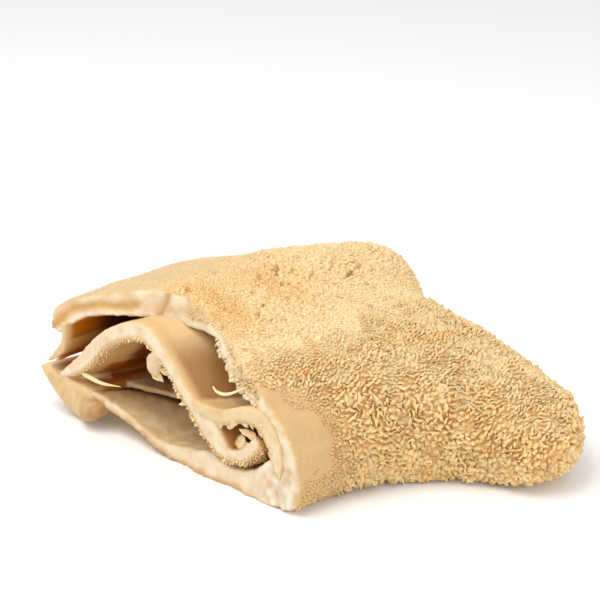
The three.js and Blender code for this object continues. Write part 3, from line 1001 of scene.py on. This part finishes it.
def skinColours(places, vertex, drawFrom):
    coarseness, grownHow, left, band, warmth, _ = (values[vertex] for values in zone)
    bare, up = 1 - grownHow, facingUp[vertex]
    patch = smooth(0.5 + 0.8 * softNoise(places, 12, 31))
    spot = rise(softNoise(places, 5, 33), 0.35, 0.3)
    odd = drawFrom.random(len(places))
    warmth = np.clip(warmth, 0, 1)
    tip = layered(
        plain("topTip", places),
        ("coarseTip", coarseness),
        ("warmTip", warmth),
        # painted light: paler tips along the levelled band and where the coarse skin faces up
        ("paleTip", np.maximum(0.95 * band, 0.5 * up * coarseness)),
        ("yellowTip", 0.22 * patch),
        ("smoothLeft", 0.8 * left),
        ("bare", 0.6 * bare),
        ("warmTip", 0.75 * spot * (odd < 0.6)),
        ("paleTip", 0.5 * ((odd > 0.6) & (odd < 0.85))))
    root = layered(
        plain("topRoot", places),
        ("coarseRoot", coarseness),
        ("warmRoot", warmth),
        # painted light: paler roots along the levelled band
        ("paleRoot", 0.9 * band),
        ("smoothLeft", 0.8 * left),
        ("bare", 0.7 * bare),
        # painted light: roots that face up are paler
        ("paleRoot", 0.8 * up))
    # painted light and shade: lighter on the clumps, darker in the valleys between them
    clumpShade = 1 + 0.12 * softNoise(places, coarse["clump"], 66) * coarseness
    return shadedPair(root, tip, 0.94, 0.1, drawFrom, clumpShade)


def tagColours(places, vertex, drawFrom):
    return shadedPair(plain("cut", places), plain("fringeTip", places), 0.94, 0.1, drawFrom)


def fringeColours(places, vertex, drawFrom):
    edge = np.exp(-innerDepth[vertex] / 0.05)
    root = layered(plain("underRoot", places), ("fringeRoot", edge))
    tip = layered(plain("underTip", places), ("fringeTip", edge))
    return shadedPair(root, tip, 0.92, 0.14, drawFrom)


def scatterPapillae(name, mesh, kind, forms, chosen, spacing, sizes, tries, coloursOf, seed):
    drawFrom = np.random.default_rng(seed)
    places, vertex = spread(mesh, chosen, kind["spacing"] * spacing, tries, drawFrom)
    count = len(places)
    normal = unit(normalsOf(mesh)[vertex])
    size = sizes[vertex]
    drift = np.stack([softNoise(places, kind["flowSize"], 61 + i) for i in range(3)], 1) * kind["flow"]
    drift += kind["bias"] + drawFrom.normal(size=(count, 3)) * kind["stray"]
    towards = unit(drift - normal * (drift * normal).sum(1, keepdims=True))
    clump = softNoise(places, kind["clump"], 66)
    lean = drawFrom.uniform(*kind["lean"], count) - kind["ridge"] * clump
    up = unit(normal * np.cos(lean)[:, None] + towards * np.sin(lean)[:, None])
    feet = places + normal * (kind["swell"] * clump * size)[:, None]
    wide, high = (drawFrom.uniform(*kind[key], count) * size for key in ("wide", "high"))
    return papillaMesh(name, forms, feet, up, towards, wide, high, kind["sunk"],
                       *coloursOf(places, vertex, drawFrom), drawFrom)


print("setting the papillae")
formChance = np.random.default_rng(40)
petals, nubs, thorns = (formsOf(papillaForms[name], formChance) for name in ("petal", "nub", "thorn"))
upwards = normalsOf(sheet)[:, 2]
# how much the sheet faces up: it paints light onto papillae that face up, and makes the coarse ones smaller
facingUp = rise(upwards, 0.55, 0.35)
grownHere = grown > 0.1 + 0.09 * softNoise(points, 2.5, 74)
covered = (outside & (cutShare < 0.3) & grownHere) | rolledOver
covered &= (upwards > -0.8) & (slitShare <= 0.5)
grownSize = mix(0.3, 1, grown) * np.where(rolledOver, 2.1, 1)
coarseSize = mix(0.55, 1, rise(coarseZone, coarse["from"], 1 - coarse["from"])) * grownSize
coarseSize = coarseSize * mix(1, 0.76, facingUp)
coarseHere = covered & (coarseZone + 0.22 * softNoise(points, 4.5, 71) > coarse["from"])
backHere = covered & (part > 0.8) & (depth > 0.05) & (smoothLeft < 0.4)
backHere &= upwards < 0.3 + 0.4 * softNoise(points, 8, 72)
backSize = mix(1, 0.5, smooth(smoothLeft / 0.4)) * rise(depth, 0.02, 0.12)
backSize = backSize * mix(0.5, 1, rise(part, 0.8, 0.12))
fineShare = np.maximum(np.maximum(warm, fineZone), 1.2 * smoothLeft)
fineHere = fineShare + 0.3 * softNoise(points, 5, 73) > 0.5
nubsHere = covered & ~coarseHere & ~backHere
nubSize = mix(1, 0.5, np.clip(smoothLeft / 0.8, 0, 1)) * mix(1, 0.8, litBand) * grownSize
tagsHere = (insideShare > 0.12) & (cutShare > 0.3) & onTop & (part > 0.12) & (part < 0.4)
folds = innerFolds.data
ones, foldOnes = np.ones(len(points)), np.ones(len(fringeHere))
coarseApart = mix(0.5, 1, coarseSize)
topHere, fineHere = nubsHere & ~fineHere, nubsHere & fineHere
papillae = [scatterPapillae(*row) for row in (
    ("papillaeFront", sheet, coarse, petals, coarseHere, coarseApart, coarseSize, 90000, skinColours, 41),
    ("papillaeTop", sheet, topNubs, nubs, topHere, ones, nubSize, 70000, skinColours, 42),
    ("papillaeFine", sheet, fineNubs, nubs, fineHere, ones, nubSize, 70000, skinColours, 44),
    ("papillaeBack", sheet, coarse, petals, backHere, ones, backSize, 30000, skinColours, 43),
    ("rimTags", sheet, tags, thorns, tagsHere, ones, ones, 12000, tagColours, 46),
    ("papillaeFringe", folds, fringe, thorns, fringeHere, foldOnes, fringeSize, 30000, fringeColours, 45))]


# Loose bits at the cut end. Each shred has its foot and its tip (across, height), its depth and its width

shreds = {
    "kernel": (((22.5, 30.5), (33.5, 31.6), 0.008, 5.0),),
    "tongues": (
        ((36.5, 16), (36, 27), 0.022, 4.6), ((32.5, 16), (32.8, 27.6), 0.012, 4.6),
        ((40.5, 17), (39.2, 25), 0.03, 4.0), ((28.5, 18), (29.2, 26), 0.012, 4.4),
        ((17, 25.5), (26, 27.5), 0.006, 3.2)),
    "hollowRoof": (
        ((46, 36), (44.6, 28.6), 0.008, 4.4), ((41.5, 37), (40, 28.8), 0.009, 5.0),
        ((36, 38), (35.8, 31.4), 0.007, 4.0), ((31, 40), (30.2, 33), 0.009, 5.0),
        ((25.6, 40), (25.8, 33.6), 0.007, 3.6), ((20, 38), (21.2, 31.4), 0.009, 4.0)),
    "lumpEnds": (
        ((85.5, 45), (82.5, 40.5), 0.002, 3.2), ((87.5, 44), (86, 39.5), 0.0, 2.8),
        ((84, 47.5), (80, 44.5), 0.004, 2.8)),
}
shredForm = {**papillaForms["petal"], "segments": 14, "rings": 12, "thick": (0.26, 0.36), "uneven": 0.02,
             "variants": 5, "sunk": 0.12, "ragged": ((3.2, 0.8), (1.3, 0.45))}

# soft threads: a line in the same places, its depths, half its thickness and how that tapers
threads = {
    "strand": {
        "line": ((46, 49.5), (44, 47.6), (40.5, 47.2), (36.5, 49.8), (32, 54)),
        "depth": (-0.004, -0.002, 0.008, 0.025, 0.05), "half": 0.8, "taper": (0.5, 0.8, 1, 0.8, 0.6)},
    "sliver": {
        "line": ((154, 25.5), (146, 26), (136, 26.2), (125, 26.4), (114, 27.4)),
        "depth": (0.03, 0.014, 0.004, 0, 0.01), "half": 1.2, "taper": (0.8, 1, 1, 0.7, 0.1)},
}


def threadPlace(thread):
    def place(u, h, w):
        across, height = (through(line, u) for line in zip(*thread["line"]))
        x, y, _ = foldPoint(across, height, through(thread["depth"], u))
        s, t = 2 * h - 1, 2 * w - 1      # a square turned into a disc
        half = thread["half"] * through(thread["taper"], u)
        inwards = t * np.sqrt(1 - s * s / 2) * half
        upwards = s * np.sqrt(1 - t * t / 2) * half
        return x + inX * inwards, y + inY * inwards, height + upwards
    return place


print("adding the loose bits")
shredChance = np.random.default_rng(47)
forms = formsOf(shredForm, shredChance)
bits = [bit for group in shreds.values() for bit in group]
feet, tips = (np.array([foldPlace(*bit[end], bit[2]) for bit in bits]) for end in (0, 1))
reach = np.linalg.norm(tips - feet, axis=1)
facing = np.tile((-inX, -inY, 0.3), (len(bits), 1))
shredPiece = papillaMesh("shreds", forms, feet, unit(tips - feet), unit(facing),
                         0.8 * np.array([bit[3] for bit in bits]), 1.15 * reach, shredForm["sunk"],
                         plain("fringeRoot", bits), plain("fringeTip", bits), shredChance)
shredPoints = coordsOf(shredPiece.data)
for size, amount in shredForm["ragged"]:
    wander = np.stack([softNoise(shredPoints, size, 81 + i) for i in range(3)], 1)
    shredPoints = shredPoints + amount * wander
setCoords(shredPiece.data, shredPoints)
threadParts = [mappedBox(name, 24, 4, threadPlace(thread), 4)["object"] for name, thread in threads.items()]
threadPiece = joined("threads", threadParts)
threadPiece.data.shade_smooth()
setTint(threadPiece.data, plain("fringeTip", threadPiece.data.vertices))


# Materials: the zone colours are on the mesh, and the nodes add mottling, grain and gloss

flesh = {
    "sheet": {"roughness": 0.5, "mottle": 0.06, "grain": 1.2, "bump": 0.35, "softness": 0.25},
    "inside": {"roughness": 0.42, "mottle": 0.05, "grain": 1.6, "bump": 0.2, "softness": 0.3},
    "papillae": {"roughness": 0.68, "mottle": 0.03, "grain": 0.8, "bump": 0.2, "softness": 0.06},
    "cloudSize": 9.0,
    "reliefDeep": 0.4,
    "bleed": (1.0, 0.55, 0.3),      # how far red, green and blue spread under the surface
    "bleedSize": 2.2,
    "shine": 0.35,
}


def feed(owner, node, inputs):      # an input gets a value, or a link from another node's output
    for socket, value in inputs.items():
        if isinstance(value, bpy.types.NodeSocket):
            owner.node_tree.links.new(value, node.inputs[socket])
        else:
            node.inputs[socket].default_value = value


def shaderMaterial(name):
    material = bpy.data.materials.new(name)
    material.use_nodes = True
    return material, material.node_tree.nodes["Principled BSDF"]


def fleshMaterial(name, look):
    material, shader = shaderMaterial(name)

    def added(kind, output, inputs, **settings):
        node = material.node_tree.nodes.new("ShaderNode" + kind)
        for setting, value in settings.items():
            setattr(node, setting, value)
        feed(material, node, inputs)
        return node.outputs[output]

    def noise(size, detail):
        return added("TexNoise", "Fac", {"Scale": 1 / (size * mm), "Detail": detail, "Vector": place})

    def ranged(value, *ends):
        limits = dict(zip(("From Min", "From Max", "To Min", "To Max"), ends))
        return added("MapRange", "Result", {"Value": value, **limits})

    place = added("TexCoord", "Object", {})
    cloud, fine = noise(flesh["cloudSize"], 3), noise(look["grain"], 4)
    mottle, roughness = look["mottle"], look["roughness"]
    clouds = ranged(cloud, 0.3, 0.7, 1 - mottle, 1 + mottle * 0.5)
    grains = ranged(fine, 0.35, 0.65, 1 - mottle * 0.8, 1 + mottle * 0.4)
    both = added("Math", "Value", {0: clouds, 1: grains}, operation="MULTIPLY")
    tint = added("Attribute", "Color", {}, attribute_name="tint", attribute_type="GEOMETRY")
    relief = {"Height": fine, "Strength": look["bump"], "Distance": flesh["reliefDeep"] * mm}
    feed(material, shader, {
        "Base Color": added("VectorMath", "Vector", {0: tint, "Scale": both}, operation="SCALE"),
        "Roughness": ranged(cloud, 0, 1, roughness - 0.1, roughness + 0.1),
        "Normal": added("Bump", "Normal", relief),
        "Subsurface Weight": look["softness"],
        "Subsurface Radius": flesh["bleed"],
        "Subsurface Scale": flesh["bleedSize"] * mm,
        "Specular IOR Level": flesh["shine"]})
    return material


papillaSkin = fleshMaterial("tripePapillae", flesh["papillae"])
for piece, skin in ((outerSheet, fleshMaterial("tripeSkin", flesh["sheet"])),
                    (innerFolds, fleshMaterial("tripeInside", flesh["inside"])),
                    *((piece, papillaSkin) for piece in [shredPiece, threadPiece] + papillae)):
    piece.data.materials.clear()
    piece.data.materials.append(skin)
    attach(piece, "root")
    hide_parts("tripe")

mapped = (body, hollow, *cutters.values(), *innerParts.values())
drop(lumpPiece, *threadParts, *(source["object"] for source in mapped))


# Floor, light and camera

stage = {
    "floorSize": 6.0,
    "floorLook": {"Base Color": (0.95, 0.95, 0.945, 1), "Roughness": 0.9, "Specular IOR Level": 0.1},
    "key": {"at": (-0.45, -0.15, 1.1), "size": 0.9, "power": 7.5, "colour": (1, 0.985, 0.96)},
    "fill": {"at": (0.7, -1.0, 0.6), "size": 0.8, "power": 3.6, "colour": (1, 1, 1)},
    "world": {"Color": (1, 1, 1, 1), "Strength": 0.8},
    "cameraAt": (0.00194, -0.7139, 0.3512),
    "cameraTilt": 68.0,
    "lens": 92.5,
}


def makeFloor():
    bm = bmesh.new()
    bmesh.ops.create_grid(bm, x_segments=8, y_segments=8, size=stage["floorSize"] / 2)
    floor = newObject("floor", meshFrom(bm, "floor"))
    material, shader = shaderMaterial("paleFloor")
    feed(material, shader, stage["floorLook"])
    floor.data.materials.append(material)


def areaLight(name):
    look = stage[name]
    light = bpy.data.lights.new(name, "AREA")
    light.shape = "DISK"
    light.size = look["size"]
    light.energy = look["power"]
    light.color = look["colour"]
    made = newObject(name, light)
    made.location = look["at"]
    made.rotation_euler = (-Vector(look["at"])).to_track_quat("-Z", "Y").to_euler()


makeFloor()
areaLight("key")
areaLight("fill")
world = bpy.data.worlds.new("studio")
world.use_nodes = True
feed(world, world.node_tree.nodes["Background"], stage["world"])
bpy.context.scene.world = world
bpy.context.scene.view_settings.view_transform = "Standard"

camera = bpy.data.cameras.new("camera")
camera.lens = stage["lens"]
cameraObject = newObject("camera", camera)
cameraObject.location = stage["cameraAt"]
cameraObject.rotation_euler = (math.radians(stage["cameraTilt"]), 0, 0)
bpy.context.scene.camera = cameraObject

print("done")
